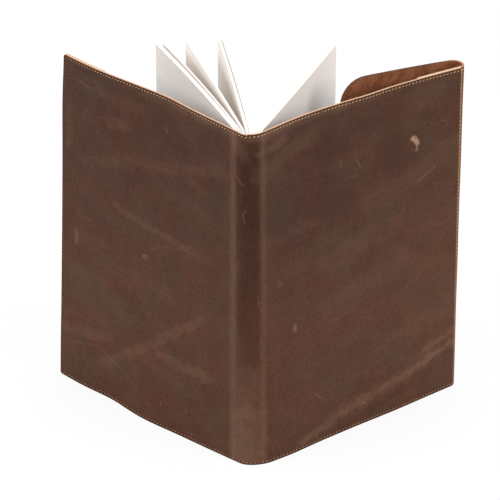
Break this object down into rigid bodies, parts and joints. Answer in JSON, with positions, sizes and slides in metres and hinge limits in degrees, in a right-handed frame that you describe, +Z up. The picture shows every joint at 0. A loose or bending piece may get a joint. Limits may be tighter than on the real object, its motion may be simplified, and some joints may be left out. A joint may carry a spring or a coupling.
{
  "type": "leather journal",
  "caption": "Leather journal cover with a fold-in flap on the back cover, standing open around a notebook with fanned pages.",
  "frame": {"origin": "the bottom edge of the spine, at the middle of the leather's thickness", "axes": "+Z up along the spine; +Y from the spine towards the opening between the covers, halfway between them; +X towards the back cover's side"},
  "size_m": [0.2493, 0.1428, 0.2227],
  "materials": {
    "leather": "waxed dark brown with scuffs",
    "paper": "plain off-white",
    "card": "matt dark card",
    "thread": "waxed tan thread"
  },
  "bodies": {
    "root": {"spine_leather": "leather", "notebook_spine": "card", "text_block": "paper", "spine_stitching": "thread"},
    "front_cover": {"front_leather": "leather", "front_strip": "leather", "notebook_front": "card", "front_stitching": "thread"},
    "back_cover": {"back_leather": "leather", "back_strip": "leather", "notebook_back": "card", "back_stitching": "thread"},
    "closure_flap": {"flap_leather": "leather", "flap_stitching": "thread"}
  },
  "joints": [
    {"name": "front_cover_crease", "type": "hinge", "parent": "root", "child": "front_cover", "pos_m": [-0.00911, 0.00343, 0], "axis": [0, 0, 1], "range_deg": [-47, 41.3], "deforming": ["text_block"]},
    {"name": "back_cover_crease", "type": "hinge", "parent": "root", "child": "back_cover", "pos_m": [0.00911, 0.00343, 0], "axis": [0, 0, -1], "range_deg": [-47, 41.3], "deforming": ["text_block"]},
    {"name": "flap_fold", "type": "hinge", "parent": "back_cover", "child": "closure_flap", "pos_m": [0.12258, 0.10897, 0], "axis": [0, 0, -1], "range_deg": [-12, 167]}
  ]
}
